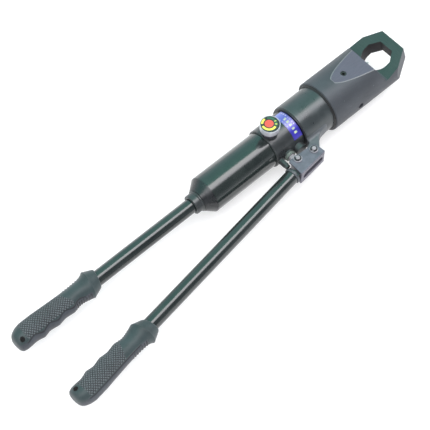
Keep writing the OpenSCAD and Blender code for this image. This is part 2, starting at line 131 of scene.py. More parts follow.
class Finish:
    """One material: a Principled shader and short helpers for the nodes that feed it."""

    def __init__(self, name, color, rough, metal=0.0, **sockets):
        self.material = bpy.data.materials.new(name)
        self.material.use_nodes = True
        self.tree = self.material.node_tree
        self.shader = self.tree.nodes["Principled BSDF"]
        self.place = self.add("ShaderNodeTexCoord").outputs["Object"]
        self.bumped = None
        self.put("Base Color", (*color, 1.0))
        self.put("Roughness", rough)
        self.put("Metallic", metal)
        for key, value in sockets.items():
            self.put(key.replace("_", " "), value)

    def add(self, kind, inputs=(), **props):
        """A node in this material."""
        return add_node(self.tree, kind, inputs, **props)

    def put(self, socket, value):
        """Sets or links one input of the shader."""
        if isinstance(value, bpy.types.NodeSocket):
            self.tree.links.new(value, self.shader.inputs[socket])
        else:
            self.shader.inputs[socket].default_value = value

    def math(self, op, a, b=0.0, clamp=False):
        return self.add("ShaderNodeMath", {0: a, 1: b}, operation=op, use_clamp=clamp).outputs[0]

    def noise(self, scale, detail=3.0, rough=0.55, place=None):
        fields = {"Vector": place or self.place, "Scale": scale, "Detail": detail,
                  "Roughness": rough}
        return self.add("ShaderNodeTexNoise", fields).outputs["Fac"]

    def cells(self, scale, place=None):
        fields = {"Vector": place or self.place, "Scale": scale}
        return self.add("ShaderNodeTexVoronoi", fields).outputs["Distance"]

    def stretched(self, x, y, z):
        """Coordinates scaled differently along X, Y and Z, for drawn-out noise."""
        return self.add("ShaderNodeMapping", {"Vector": self.place, "Scale": (x, y, z)}).outputs[0]

    def axes(self, origin=(0, 0, 0)):
        """X, Y and Z in metres, counted from origin."""
        moved = self.add(
            "ShaderNodeVectorMath", {0: self.place, 1: tuple(origin)}, operation="SUBTRACT"
        ).outputs[0]
        return self.add("ShaderNodeSeparateXYZ", {0: moved}).outputs

    def between(self, value, low, high, soft):
        """1 where low < value < high, with soft edges."""
        rise = self.math("DIVIDE", self.math("SUBTRACT", value, low), soft, clamp=True)
        fall = self.math("DIVIDE", self.math("SUBTRACT", high, value), soft, clamp=True)
        return self.math("MULTIPLY", rise, fall)

    def ramp(self, fac, stops):
        return fill_ramp(self.add("ShaderNodeValToRGB", {0: fac}), stops)

    def levels(self, fac, low, high, out_low, out_high):
        """Stretches low..high to out_low..out_high, and stops at the ends."""
        fields = {0: fac, 1: low, 2: high, 3: out_low, 4: out_high}
        return self.add("ShaderNodeMapRange", fields).outputs[0]

    def mix(self, fac, a, b):
        """Colour a where fac is 0 and b where it is 1."""
        a = (*a, 1) if isinstance(a, tuple) else a
        b = (*b, 1) if isinstance(b, tuple) else b
        node = self.add("ShaderNodeMix", {0: fac, 6: a, 7: b}, data_type="RGBA")
        return node.outputs[2]

    def bump(self, height, strength, distance):
        """Adds a bump on top of those already there."""
        fields = {"Height": height, "Strength": strength, "Distance": distance}
        if self.bumped:
            fields["Normal"] = self.bumped
        self.bumped = self.add("ShaderNodeBump", fields).outputs[0]
        self.put("Normal", self.bumped)


def black_gloss():
    """Sprayed black enamel: a shallow orange peel, fine hairlines and a little dust."""
    m = Finish("black_enamel", (0.012, 0.016, 0.016), 0.2, IOR=1.55, Coat_Weight=0.4,
               Coat_Roughness=0.07, Coat_IOR=1.6)
    peel = m.noise(420, 2, 0.4)
    cloud = m.noise(38, 4, 0.6)
    hair = m.noise(1.0, 3, 0.6, m.stretched(30, 900, 900))
    m.put("Base Color", m.ramp(cloud, [(0.3, (0.010, 0.014, 0.014)), (0.7, (0.018, 0.024, 0.023))]))
    m.put("Roughness", m.levels(m.math("ADD", cloud, m.math("MULTIPLY", hair, 0.4)),
                                0.4, 1.0, 0.13, 0.27))
    m.bump(peel, 0.10, 0.0006)
    m.bump(hair, 0.05, 0.0002)
    return m.material


def satin_black(name, tone, rough, lines):
    """Blackened turned steel; lines is how strongly the tool marks show."""
    m = Finish(name, tone, rough, 0.25, IOR=1.7)
    cloud = m.noise(55, 4, 0.6)
    turned = m.noise(1.0, 3, 0.6, m.stretched(3200, 40, 40))
    low = tuple(c * 0.8 for c in tone)
    high = tuple(c * 1.35 for c in tone)
    m.put("Base Color", m.ramp(cloud, [(0.3, low), (0.72, high)]))
    m.put("Roughness", m.levels(cloud, 0.3, 0.75, rough - 0.05, rough + 0.08))
    m.bump(turned, lines, 0.00025)
    m.bump(m.noise(900, 3, 0.5), 0.08, 0.0002)
    return m.material


def forged(name, tone, rough, grain, specks=0.0):
    """Blackened forged steel with a fine cast grain and small rubbed specks."""
    m = Finish(name, tone, rough, 0.3, IOR=1.6)
    cloud = m.noise(26, 5, 0.6)
    fine = m.noise(1400, 3, 0.6)
    low = tuple(c * 0.82 for c in tone)
    high = tuple(c * 1.22 for c in tone)
    color = m.ramp(cloud, [(0.3, low), (0.7, high)])
    color = m.mix(m.levels(fine, 0.35, 0.75, 0.0, 0.3), color, high)
    if specks:
        dots = m.cells(260)
        rare = m.noise(90, 2, 0.5)
        spot = m.math("MULTIPLY", m.levels(dots, 0.05, 0.11, 1, 0), m.levels(rare, 0.6, 0.68, 0, 1))
        color = m.mix(m.math("MULTIPLY", spot, specks), color, (0.42, 0.46, 0.48))
    m.put("Base Color", color)
    m.put("Roughness", m.levels(fine, 0.3, 0.7, rough - 0.07, rough + 0.08))
    m.bump(fine, grain, 0.0003)
    m.bump(m.noise(210, 3, 0.5), grain * 0.5, 0.0007)
    return m.material


def milled(name, tone, rough, across, metal=0.35, ior=1.65):
    """A machined flat: fine parallel cutter marks under the blackening."""
    m = Finish(name, tone, rough, metal, IOR=ior)
    marks = m.noise(1.0, 4, 0.65, m.stretched(*across))
    cloud = m.noise(45, 4, 0.6)
    low = tuple(c * 0.85 for c in tone)
    high = tuple(c * 1.2 for c in tone)
    m.put("Base Color", m.ramp(marks, [(0.3, low), (0.7, high)]))
    m.put("Roughness", m.levels(cloud, 0.3, 0.7, rough - 0.05, rough + 0.07))
    m.bump(marks, 0.16, 0.00025)
    return m.material


def plated(name, tone, rough, metal=0.85):
    """Zinc-plated or ground steel with faint stains and fine scratches."""
    m = Finish(name, tone, rough, metal)
    cloud = m.noise(120, 4, 0.6)
    fine = m.noise(2600, 2, 0.5)
    low = tuple(c * 0.75 for c in tone)
    high = tuple(min(c * 1.2, 1.0) for c in tone)
    m.put("Base Color", m.ramp(cloud, [(0.3, low), (0.7, high)]))
    m.put("Roughness", m.levels(m.math("ADD", cloud, fine), 0.7, 1.3, rough - 0.08, rough + 0.1))
    m.bump(fine, 0.12, 0.0001)
    return m.material


def rubber(name, tone, rough):
    """Moulded rubber: a dull bloom over a fine matt grain."""
    m = Finish(name, tone, rough, 0.0, IOR=1.5, Sheen_Weight=0.12, Sheen_Roughness=0.5)
    bloom = m.noise(34, 4, 0.6)
    grain = m.noise(2300, 3, 0.6)
    low = tuple(c * 0.78 for c in tone)
    high = tuple(c * 1.25 for c in tone)
    m.put("Base Color", m.ramp(bloom, [(0.28, low), (0.72, high)]))
    m.put("Roughness", m.levels(grain, 0.3, 0.7, rough - 0.06, rough + 0.1))
    m.bump(grain, 0.22, 0.0002)
    return m.material


def knob_finish():
    """Pale anodised aluminium with turned lines."""
    m = Finish("pale_aluminium", (0.56, 0.57, 0.62), 0.34, 0.45)
    cloud = m.noise(160, 3, 0.5)
    lines = m.noise(1.0, 2, 0.5, m.stretched(60, 60, 5200))
    m.put("Base Color", m.ramp(cloud, [(0.3, (0.50, 0.51, 0.56)), (0.7, (0.62, 0.63, 0.67))]))
    m.put("Roughness", m.levels(cloud, 0.3, 0.7, 0.28, 0.42))
    m.bump(lines, 0.15, 0.0001)
    return m.material


PRINT_SHIFT = Vector((-0.4, 1.3, 0))  # the disc's print is stuck on a little off centre


def disc_print():
    """Black printed disc: red centre, two yellow arcs, a green arc with two lime spots."""
    m = Finish("printed_disc", (0.02, 0.02, 0.02), 0.3, IOR=1.5, Coat_Weight=0.3,
               Coat_Roughness=0.1)
    x, y, z = m.axes(release_axis + PRINT_SHIFT * MM)
    reach = m.math("SQRT", m.math("ADD", m.math("POWER", x, 2.0), m.math("POWER", y, 2.0)))
    turn = m.math("DEGREES", m.math("ARCTAN2", y, x))
    turn = m.math("MODULO", m.math("ADD", turn, 360.0), 360.0)
    ring = m.between(reach, 7.2 * MM, 10.5 * MM, 0.35 * MM)
    yellow = m.math("MAXIMUM", m.between(turn, 84, 142, 5), m.between(turn, 160, 292, 5))
    green = m.math("MAXIMUM", m.between(turn, 296, 385, 4), m.between(turn, -5, 66, 5))
    lime = m.math("MAXIMUM", m.between(turn, 308, 322, 3), m.between(turn, 340, 352, 3))
    scuff = m.noise(900, 3, 0.6)
    color = m.mix(m.levels(scuff, 0.4, 0.8, 0, 0.25), (0.016, 0.018, 0.018), (0.06, 0.07, 0.07))
    color = m.mix(m.math("MULTIPLY", ring, green), color, (0.03, 0.10, 0.06))
    color = m.mix(m.math("MULTIPLY", ring, lime), color, (0.55, 0.72, 0.12))
    color = m.mix(m.math("MULTIPLY", ring, yellow), color, (0.88, 0.84, 0.12))
    color = m.mix(m.between(reach, -1.0, 5.9 * MM, 0.4 * MM), color, (0.86, 0.10, 0.07))
    m.put("Base Color", color)
    m.put("Roughness", m.levels(scuff, 0.3, 0.7, 0.24, 0.38))
    m.bump(m.noise(500, 2, 0.4), 0.05, 0.0003)
    return m.material


def label_print_and_highlight():
    """Deep blue printed band with a painted lilac highlight across it and three rows of plain pale bars.
    """
    m = Finish("printed_band_painted_highlight", (0.05, 0.07, 0.5), 0.32, IOR=1.5, Coat_Weight=0.4,
               Coat_Roughness=0.15)
    x, y, z = m.axes()
    turn = m.math("DEGREES", m.math("ARCTAN2", m.math("MULTIPLY", y, -1.0), z))
    fade = m.levels(turn, -38, 58, 0, 1)
    # The lilac stop at 0.52 is a painted highlight; the other stops are the band's printed blues.
    color = m.ramp(fade, [(0.0, (0.20, 0.24, 0.55)), (0.30, (0.085, 0.11, 0.48)),
                          (0.52, (0.30, 0.27, 0.66)), (0.62, (0.09, 0.08, 0.50)),
                          (0.75, (0.026, 0.024, 0.33)), (1.0, (0.040, 0.028, 0.34))])
    # Each row: X from and to, degrees from and to, degrees per bar, share filled, colour.
    rows = [(-171.2, -166.6, -14, 46, 11.5, 0.58, (0.55, 0.68, 0.36)),
            (-164.9, -162.9, -32, 20, 8.2, 0.6, (0.62, 0.64, 0.74)),
            (-175.0, -173.2, -24, 22, 9.4, 0.55, (0.50, 0.60, 0.52))]
    uneven = m.levels(m.noise(260, 3, 0.6), 0.36, 0.58, 0.2, 0.95)
    for low, high, start, stop, pitch, fill, tone in rows:
        row = m.between(x, low * MM, high * MM, 0.25 * MM)
        span = m.between(turn, start, stop, 0.5)
        beat = m.math("FRACT", m.math("DIVIDE", m.math("ADD", turn, 90.0), pitch))
        dash = m.between(beat, 0.0, fill, 0.06)
        bar = m.math("MULTIPLY", m.math("MULTIPLY", row, span), dash)
        color = m.mix(m.math("MULTIPLY", bar, uneven), color, tone)
    m.put("Base Color", color)
    m.bump(m.noise(600, 2, 0.5), 0.06, 0.0002)
    return m.material


HEAD_BODY = forged("blackened_forging", (0.049, 0.055, 0.065), 0.52, 0.16, 0.5)
HEAD_FLAT = milled("milled_slope", (0.094, 0.088, 0.122), 0.46, (60, 1500, 60))
# The ring plate's teal tint is a painted reflection of the green surroundings, laid over its dark milled
# steel.
HEAD_RING_AND_REFLECTION = milled("milled_ring_painted_reflection", (0.024, 0.042, 0.040), 0.34, (1200, 90, 90))
# The tip's pale blue-grey tone is a painted reflection of the floor; its cutter marks are real.
HEAD_TIP_REFLECTION = milled("milled_tip_painted_reflection", (0.20, 0.235, 0.25), 0.42, (90, 90, 1500))
# The rim's pale tone is a painted highlight along the rounded edge.
HEAD_RIM_HIGHLIGHT = milled("rim_painted_highlight", (0.17, 0.17, 0.185), 0.45, (300, 300, 300))
# The window wall's near-black tone is painted shade inside the window; its broach marks are real.
HEAD_WALL_SHADE = milled("broached_wall_painted_shade", (0.014, 0.013, 0.016), 0.55, (90, 90, 1500), 0.0, 1.25)
ENAMEL = black_gloss()
CYLINDER = satin_black("blackened_cylinder", (0.034, 0.042, 0.045), 0.30, 0.10)
BLOCK = satin_black("blackened_block", (0.030, 0.034, 0.036), 0.30, 0.10)
CASTING = forged("cast_lug", (0.085, 0.095, 0.105), 0.46, 0.14)
GRIP = rubber("grip_rubber_green_black", (0.024, 0.040, 0.043), 0.5)
# The knurl's pale tone is a painted highlight on the crests of the knurl.
KNURL_HIGHLIGHT = rubber("grip_knurl_painted_highlight", (0.090, 0.108, 0.116), 0.6)
# The groove rubber's near-black is painted shade in the knurl valleys, flank grooves, rib valleys and
# hang hole.
GROOVE_SHADE = rubber("grip_groove_painted_shade", (0.014, 0.017, 0.021), 0.6)
FLANK = rubber("grip_rubber_flank", (0.036, 0.042, 0.052), 0.58)
SEAL = rubber("seal_rubber_black", (0.007, 0.007, 0.008), 0.6)
BRACKET = plated("dark_plating", (0.140, 0.136, 0.168), 0.38, 0.5)
PIN = plated("plated_pin", (0.30, 0.29, 0.31), 0.42, 0.2)
# The clip's near-black is its own colour and also painted shade of the gap round the pin.
CLIP_AND_GAP_SHADE = plated("black_clip_painted_gap_shade", (0.016, 0.017, 0.020), 0.4, 0.4)
WASHER = plated("plated_washer", (0.27, 0.26, 0.29), 0.38, 0.3)
BRIGHT = plated("ground_steel", (0.47, 0.46, 0.47), 0.30, 0.5)
GLAND = plated("green_plating", (0.15, 0.18, 0.16), 0.40, 0.3)
BRASS = plated("plain_brass", (0.62, 0.46, 0.19), 0.34, 0.95)
SCREW = satin_black("blackened_screw", (0.008, 0.009, 0.010), 0.45, 0.05)
CAP = satin_black("blackened_cap", (0.012, 0.013, 0.015), 0.26, 0.3)
PLUG = rubber("moulded_plastic", (0.022, 0.023, 0.024), 0.46)
WEAR = rubber("wear_strip", (0.50, 0.42, 0.28), 0.5)
KNOB = knob_finish()
DISC = disc_print()
LABEL = label_print_and_highlight()

SLOT_FINISH = {
    "head_steel": HEAD_BODY, "dark_steel": BLOCK, "gloss_black": ENAMEL, "grip_rubber": GRIP,
    "seal_rubber": SEAL, "black_plastic": PLUG, "bright_steel": BRIGHT, "black_screw": SCREW,
    "bracket_steel": BRACKET, "gland_steel": GLAND, "knob_plastic": KNOB, "knob_sticker": DISC,
    "blue_label": LABEL, "brass": BRASS, "wear_plastic": WEAR,
}


# ---------------------------------------------------------------- mesh building
def show(name, mesh, finishes, body, sharp, replaces):
    """Puts a mesh in view as a new piece that rides on its body."""
    for finish in finishes:
        mesh.materials.append(finish)
    mesh.polygons.foreach_set("use_smooth", [True] * len(mesh.polygons))
    mesh.set_sharp_from_angle(angle=math.radians(sharp))
    obj = in_scene(name, mesh)
    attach(obj, body)
    if replaces:
        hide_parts(*replaces)
    return obj


def piece(name, verts, faces, finish, body, sharp, replaces=(), place=None):
    """A new piece from plain lists of vertices and faces, with its faces looking outwards."""
    mesh = bpy.data.meshes.new(name)
    mesh.from_pydata([tuple(v) for v in verts], [], [tuple(f) for f in faces])
    mesh.update()
    if place is not None:
        mesh.transform(place)
    return face_outwards(show(name, mesh, [finish], body, sharp, replaces))


def softened(points, radius, closed=False):
    """A profile with its corners rounded; a point may carry its own radius as a third value."""
    out = []
    count = len(points)
    for i, p in enumerate(points):
        corner = Vector(p[:2])
        size = p[2] if len(p) > 2 else radius
        ends = (i == 0 or i == count - 1) and not closed
        if ends or size <= 0:
            out.append(corner)
            continue
        before = Vector(points[i - 1][:2]) - corner
        after = Vector(points[(i + 1) % count][:2]) - corner
        reach = min(size, before.length * 0.45, after.length * 0.45)
        a = corner + before.normalized() * reach
        b = corner + after.normalized() * reach
        for k in range(4):
            t = k / 3
            out.append(a * (1 - t) ** 2 + corner * (2 * t * (1 - t)) + b * t * t)
    return out


def turned(points, segments, closed=False, axis="X"):
    """Vertices and faces of a solid turned about X or Z, from (along, radius) in millimetres."""
    verts, faces, rings = [], [], []
    for along, radius in points:
        along, radius = along * MM, radius * MM
        start = len(verts)
        if radius < 1e-7:
            verts.append((along, 0.0, 0.0))
            rings.append([start])
            continue
        for k in range(segments):
            a = 2 * math.pi * k / segments
            verts.append((along, radius * math.cos(a), radius * math.sin(a)))
        rings.append(list(range(start, start + segments)))
    pairs = list(zip(rings, rings[1:]))
    if closed:
        pairs.append((rings[-1], rings[0]))
    for a, b in pairs:
        for k in range(segments):
            n = (k + 1) % segments
            if len(a) == 1 and len(b) == 1:
                continue
            if len(a) == 1:
                faces.append((a[0], b[k], b[n]))
            elif len(b) == 1:
                faces.append((a[k], b[0], a[n]))
            else:
                faces.append((a[k], b[k], b[n], a[n]))
    if axis == "Z":
        verts = [(y, z, x) for x, y, z in verts]
    return verts, faces


def blank_of(verts, faces, place=None):
    """A closed solid that is only cut or cut with, and has no body or material."""
    mesh = bpy.data.meshes.new("blank")
    mesh.from_pydata([tuple(v) for v in verts], [], [tuple(f) for f in faces])
    if place is not None:
        mesh.transform(place)
    return face_outwards(in_scene("blank", mesh))


def face_outwards(obj):
    """Makes all faces of a closed mesh look outwards."""
    bm = bmesh.new()
    bm.from_mesh(obj.data)
    bmesh.ops.recalc_face_normals(bm, faces=bm.faces)
    bm.to_mesh(obj.data)
    bm.free()
    obj.data.update()
    return obj


def lathe(name, points, finish, body, replaces, segments=144, place=None):
    """A hollow piece turned about X, its corners rounded 0.35 mm where they carry no radius."""
    verts, faces = turned(softened(points, 0.35, True), segments, True)
    return piece(name, verts, faces, finish, body, 40, replaces, place)


def grid_faces(rows, cols, wrap):
    """Quads of a rows x cols grid of vertices, wrapped round its columns when asked."""
    faces = []
    for i in range(rows - 1):
        for k in range(cols if wrap else cols - 1):
            n = (k + 1) % cols
            faces.append((i * cols + k, (i + 1) * cols + k, (i + 1) * cols + n, i * cols + n))
    return faces


def welded(mesh):
    """A bmesh of a mesh with its seams welded and its flat faces made whole."""
    bm = bmesh.new()
    bm.from_mesh(mesh)
    bmesh.ops.remove_doubles(bm, verts=bm.verts, dist=2e-6)
    bmesh.ops.dissolve_limit(bm, angle_limit=math.radians(0.4), verts=bm.verts, edges=bm.edges)
    bm.normal_update()
    return bm


def round_edges(bm, width, segments, chosen, finish=-1):
    """Rounds the chosen edges; a finish gives the new faces a material index of their own."""
    edges = [e for e in bm.edges if len(e.link_faces) == 2 and chosen(e)]
    bmesh.ops.bevel(bm, geom=edges, offset=width, offset_type="OFFSET", segments=segments,
                    profile=0.5, affect="EDGES", clamp_overlap=finish < 0, miter_outer="ARC",
                    material=finish)
    bm.normal_update()


def from_bmesh(name, bm, finishes, body, replaces):
    """A new piece from a bmesh; its faces pick from the finishes by material index."""
    bmesh.ops.triangulate(bm, faces=[f for f in bm.faces if len(f.verts) > 4])
    mesh = bpy.data.meshes.new(name)
    bm.to_mesh(mesh)
    bm.free()
    obj = show(name, mesh, finishes, body, 32, replaces)
    obj.modifiers.new("even normals", "WEIGHTED_NORMAL").keep_sharp = True


def break_edges(node, width):
    """Rounded edges on a CAD node that stays in view."""
    obj = NODES[node]
    obj.modifiers.new("weld", "WELD").merge_threshold = 2e-6
    flat = obj.modifiers.new("flat", "DECIMATE")
    flat.decimate_type = "DISSOLVE"
    flat.angle_limit = math.radians(0.4)
    bevel = obj.modifiers.new("edges", "BEVEL")
    bevel.width = width
    bevel.segments = 2
    bevel.limit_method = "ANGLE"
    bevel.angle_limit = math.radians(32)
    bevel.miter_outer = "MITER_ARC"
    obj.modifiers.new("even normals", "WEIGHTED_NORMAL").keep_sharp = True


def surface_net(field, low, step):
    """Vertices and faces of the zero surface of a sampled field, negative inside."""
    shape = np.array(field.shape) - 1
    total = np.zeros((*shape, 3))
    count = np.zeros(tuple(shape))
    grid = np.indices(field.shape).transpose(1, 2, 3, 0).astype(float)

    def corner(o):
        return tuple(slice(o[i], o[i] + shape[i]) for i in range(3))

    for axis in range(3):
        others = [i for i in range(3) if i != axis]
        for u in (0, 1):
            for v in (0, 1):
                a = [0, 0, 0]
                a[others[0]], a[others[1]] = u, v
                b = list(a)
                b[axis] = 1
                fa, fb = field[corner(a)], field[corner(b)]
                cross = (fa < 0) != (fb < 0)
                t = np.where(cross, fa / np.where(cross, fa - fb, 1.0), 0.0)[..., None]
                at = grid[corner(a)] * (1 - t) + grid[corner(b)] * t
                total += np.where(cross[..., None], at, 0.0)
                count += cross
    used = count > 0
    index = np.full(tuple(shape), -1)
    index[used] = np.arange(int(used.sum()))
    verts = total[used] / count[used][:, None] * step + np.array(low)
    faces = []
    for axis in range(3):
        others = [i for i in range(3) if i != axis]
        lo_cut = [slice(None)] * 3
        hi_cut = [slice(None)] * 3
        lo_cut[axis], hi_cut[axis] = slice(0, -1), slice(1, None)
        fa, fb = field[tuple(lo_cut)], field[tuple(hi_cut)]
        flips = np.argwhere((fa < 0) != (fb < 0))
        for cell in flips:
            if min(cell[others[0]], cell[others[1]]) < 1:
                continue
            if any(cell[o] >= shape[o] for o in others):
                continue
            quad = []
            for u, v in ((-1, -1), (0, -1), (0, 0), (-1, 0)):
                c = list(cell)
                c[others[0]] += u
                c[others[1]] += v
                quad.append(int(index[tuple(c)]))
            inside = fa[tuple(cell)] < 0
            if (axis == 1) == bool(inside):
                quad.reverse()
            faces.append(quad)
    return verts, faces


# ---------------------------------------------------------------- ring head
PITCH = math.radians(17)  # how steeply the ring plate rises towards its tip
RING_HALF = 14.0  # half the thickness of the ring plate
SLANT_X = -86.0  # back end of the slanted flats
STEP_X, STEP_Z = -28.0, 30.5  # their front end, above the step down to the plate
ROOT_X = -18.0  # foot of that step
TIP_E, TIP_HALF, TIP_RUN = 34.8, 19.8, 1.79  # reach and half width of the tip, run of its flanks
WIN_HALF, WIN_BACK = 19.6, -17.6  # half width of the window and its round back end
WIN_CHAMFER, WIN_FRONT, WIN_NOSE = 8.3, 22.0, 10.6  # its slanted corners and narrow front
SCREW_X, SCREW_R = -65.5, 4.25  # the four screw holes
BODY, FLAT, RING, WALL, TIP, RIM = range(6)
# The ring, tip, wall and rim finishes carry painted reflection, painted shade and a painted highlight.
HEAD_FINISHES_AND_PAINTED_LIGHT = [HEAD_BODY, HEAD_FLAT, HEAD_RING_AND_REFLECTION, HEAD_WALL_SHADE, HEAD_TIP_REFLECTION, HEAD_RIM_HIGHLIGHT]
ring_frame = Matrix.Rotation(-PITCH, 4, "Y")
ring_normal = ring_frame.to_3x3() @ Vector((0, 0, 1))
ring_along = ring_frame.to_3x3() @ Vector((1, 0, 0))


def prism(points, low, high, place):
    """A closed prism over a flat outline, as an object for cutting with."""
    n = len(points)
    verts = [(x * MM, y * MM, z * MM) for z in (low, high) for x, y in points]
    faces = [tuple(range(n))[::-1], tuple(range(n, 2 * n))]
    faces += [(k, (k + 1) % n, n + (k + 1) % n, n + k) for k in range(n)]
    return blank_of(verts, faces, place)


def carve(obj, cutters):
    """Cuts a list of (operation, cutter) out of an object and removes the cutters."""
    for operation, cutter in cutters:
        step = obj.modifiers.new("cut", "BOOLEAN")
        step.operation = operation
        step.object = cutter
        step.solver = "EXACT"
    bpy.context.view_layer.update()
    graph = bpy.context.evaluated_depsgraph_get()
    mesh = bpy.data.meshes.new_from_object(obj.evaluated_get(graph))
    obj.modifiers.clear()
    for operation, cutter in cutters:
        bpy.data.objects.remove(cutter)
    return mesh


def flat_cut(side):
    """Outline, in X and Z, of what is milled away above (1) or below (-1) the ring plate."""
    face = RING_HALF / math.cos(PITCH)
    slope = math.tan(PITCH)
    foot = face + side * ROOT_X * slope
    return [(SLANT_X, side * (head_r - 0.15)), (STEP_X, side * STEP_Z),
            (ROOT_X - 2, side * (foot + 4)), (ROOT_X - 0.9, side * (foot + 2.0)),
            (ROOT_X + 0.5, side * (foot + 0.8)),
            (ROOT_X + 3, side * face + (ROOT_X + 3) * slope), (60, side * face + 60 * slope),
            (60, side * 70), (SLANT_X, side * 70)]


def head_kind(face):
    """Which finish a face of the head gets, from where it lies and which way it looks; the ring, tip,
    wall and rim finishes carry painted reflection, shade and highlight.
    """
    c = face.calc_center_median() / MM
    n = face.normal
    e, high = c.dot(ring_along), c.dot(ring_normal)
    tilt = abs(n.dot(ring_normal))
    inwards = n.dot(ring_along) * (e - 2) + n.y * c.y < 0
    if tilt > 0.999 and abs(abs(high) - RING_HALF) < 0.1:
        return RING
    if 0.97 < abs(n.z) < 0.996 and n.x > 0.05 and c.x < STEP_X and abs(c.z) > 28:
        return FLAT
    if tilt < 0.05 and math.hypot(e - 2, c.y) < 23.5 and inwards:
        return WALL
    if tilt < 0.02 and e > 14:
        return TIP
    if STEP_X < c.x < ROOT_X + 3 and n.x > 0.2 and abs(n.z) > 0.2:
        return RING
    return BODY


def kinds_of(e):
    """The finishes on both sides of an edge."""
    return sorted(f.material_index for f in e.link_faces)


def corner_edge(limit):
    """A test for edges sharper than limit degrees."""
    return lambda e: e.calc_face_angle(0) > math.radians(limit)


def rim_edge(e):
    """The edge round a slanted flat that carries the rim's painted highlight, but not round its screw
    hole.
    """
    at = (e.verts[0].co + e.verts[1].co) / (2 * MM)
    return kinds_of(e) == [BODY, FLAT] and math.hypot(at.x - SCREW_X, at.y) > SCREW_R + 2


def wall_edge(e):
    """The edge between the window's wall and any other face."""
    return WALL in kinds_of(e) and kinds_of(e)[0] != WALL


upright = Matrix.Rotation(math.radians(90), 4, "X")
reach = head_r + 10
side_e = TIP_E - (reach - TIP_HALF) * TIP_RUN
outline = [(-200, -reach), (side_e, -reach), (TIP_E, -TIP_HALF),
           (TIP_E, TIP_HALF), (side_e, reach), (-200, reach)]
window = [(WIN_CHAMFER, -WIN_HALF), (WIN_FRONT, -WIN_NOSE), (WIN_FRONT, WIN_NOSE),
          (WIN_CHAMFER, WIN_HALF)]
window += [(WIN_BACK + WIN_HALF * (1 + math.cos(math.radians(a))),
            WIN_HALF * math.sin(math.radians(a))) for a in range(90, 271, 6)]
barrel = [(60, 0), (60, head_r), (head_back + 1, head_r), (head_back, head_r - 1), (head_back, 35),
          (head_back + 2.5, 35), (head_back + 2.5, 29.6), (-57, 29.6), (-57, 15.4), (0, 15.4),
          (0, 0)]
blank = blank_of(*turned(barrel, 192))
cutters = [("INTERSECT", prism(outline, -80, 120, ring_frame)),
           ("DIFFERENCE", prism(flat_cut(1), -60, 60, upright)),
           ("DIFFERENCE", prism(flat_cut(-1), -60, 60, upright)),
           ("DIFFERENCE", prism(window, -60, 80, ring_frame))]
screw_hole = [(SCREW_R * math.cos(math.radians(a)), SCREW_R * math.sin(math.radians(a)))
              for a in range(0, 360, 6)]
for quarter in range(4):
    place = Matrix.Rotation(math.pi / 2 * quarter, 4, "X") @ Matrix.Translation((SCREW_X * MM, 0, 0))
    cutters.append(("DIFFERENCE", prism(screw_hole, 27.6, 45, place)))
bm = welded(carve(blank, cutters))
bpy.data.objects.remove(blank)
for f in bm.faces:
    f.material_index = head_kind(f)
round_edges(bm, 0.8 * MM, 3, wall_edge)
# The rounded edge round each slanted flat gets the rim's painted highlight.
round_edges(bm, 0.7 * MM, 3, lambda e: rim_edge(e) and corner_edge(5)(e), RIM)
round_edges(bm, 0.45 * MM, 2,
            lambda e: corner_edge(28)(e) and WALL not in kinds_of(e) and RIM not in kinds_of(e))
from_bmesh("ring_head", bm, HEAD_FINISHES_AND_PAINTED_LIGHT, "frame", ["head", "ring_plate"])

# Wiper ring that peeps out behind the head.
lathe("head_wiper", [(head_back + 2.4, 34.9), (head_back - 0.9, 34.7, 0.8),
                     (head_back - 2.1, 33.3, 0.7), (head_back - 2.2, 32.5),
                     (head_back + 2.4, 32.5)],
      SEAL, "frame", ["head_seal"])

# ---------------------------------------------------------------- ram cylinder and its cast lug
CYL_R = 32.45
lathe("cylinder_wall", [(-159.5, 10.6), (-159.5, 30.9, 0.5), (-158.9, CYL_R, 1.2),
                        (-108.2, CYL_R, 0.6), (-107.2, 31.6), (-107.2, 29.6),
                        (-58.0, 29.6), (-58.0, 25.0), (-150.0, 25.0), (-150.0, 10.6)],
      CYLINDER, "frame", ["ram_cylinder"], segments=180)


def polygon_distance(px, py, points):
    """Signed distance from each (px, py) to a closed polygon, negative inside."""
    best = np.full(px.shape, 1e9)
    inside = np.zeros(px.shape, bool)
    for (ax, ay), (bx, by) in zip(points, points[1:] + points[:1]):
        ex, ey = bx - ax, by - ay
        t = np.clip(((px - ax) * ex + (py - ay) * ey) / (ex * ex + ey * ey), 0, 1)
        best = np.minimum(best, np.hypot(px - ax - t * ex, py - ay - t * ey))
        crosses = (ay > py) != (by > py)
        safe = np.where(crosses, by - ay, 1.0)
        inside ^= crosses & (px < ax + (py - ay) * (bx - ax) / safe)
    return np.where(inside, -best, best)


def smooth_union(a, b, k):
    """Joins two distance fields with a fillet about k wide."""
    h = np.clip(0.5 + 0.5 * (b - a) / k, 0, 1)
    return b * (1 - h) + a * h - k * h * (1 - h)


# The lug and its fillets, sampled as a distance field in millimetres.
LUG_HALF, LUG_EDGE = 8.15, 1.2  # half its thickness and the radius of its edges
LUG_HOLE_X, LUG_HOLE_Y, LUG_HOLE_R = -165.5, -48.9, 3.0
step = 0.65
low = np.array([-176.0, -60.0, -25.0])
size = np.array([70.0, 42.0, 50.0])
axes = [low[i] + step * np.arange(int(size[i] / step) + 1) for i in range(3)]
gx, gy, gz = np.meshgrid(*axes, indexing="ij")
radial = np.hypot(gy, gz)
tube = np.maximum(np.maximum(radial - (CYL_R - 0.25), -159.3 - gx), gx + 108.5)
outline = [(-125.0, -24.0), (-127.0, -30.5), (-137.0, -33.6), (-145.0, -38.6), (-152.0, -46.0),
           (-156.8, -51.6), (-160.5, -54.8), (-165.5, -56.0), (-170.4, -54.4), (-172.6, -49.6),
           (-170.6, -44.0), (-167.5, -39.0), (-161.5, -36.0), (-158.6, -33.0), (-158.4, -24.0)]
flat = polygon_distance(gx, gy, outline) + LUG_EDGE
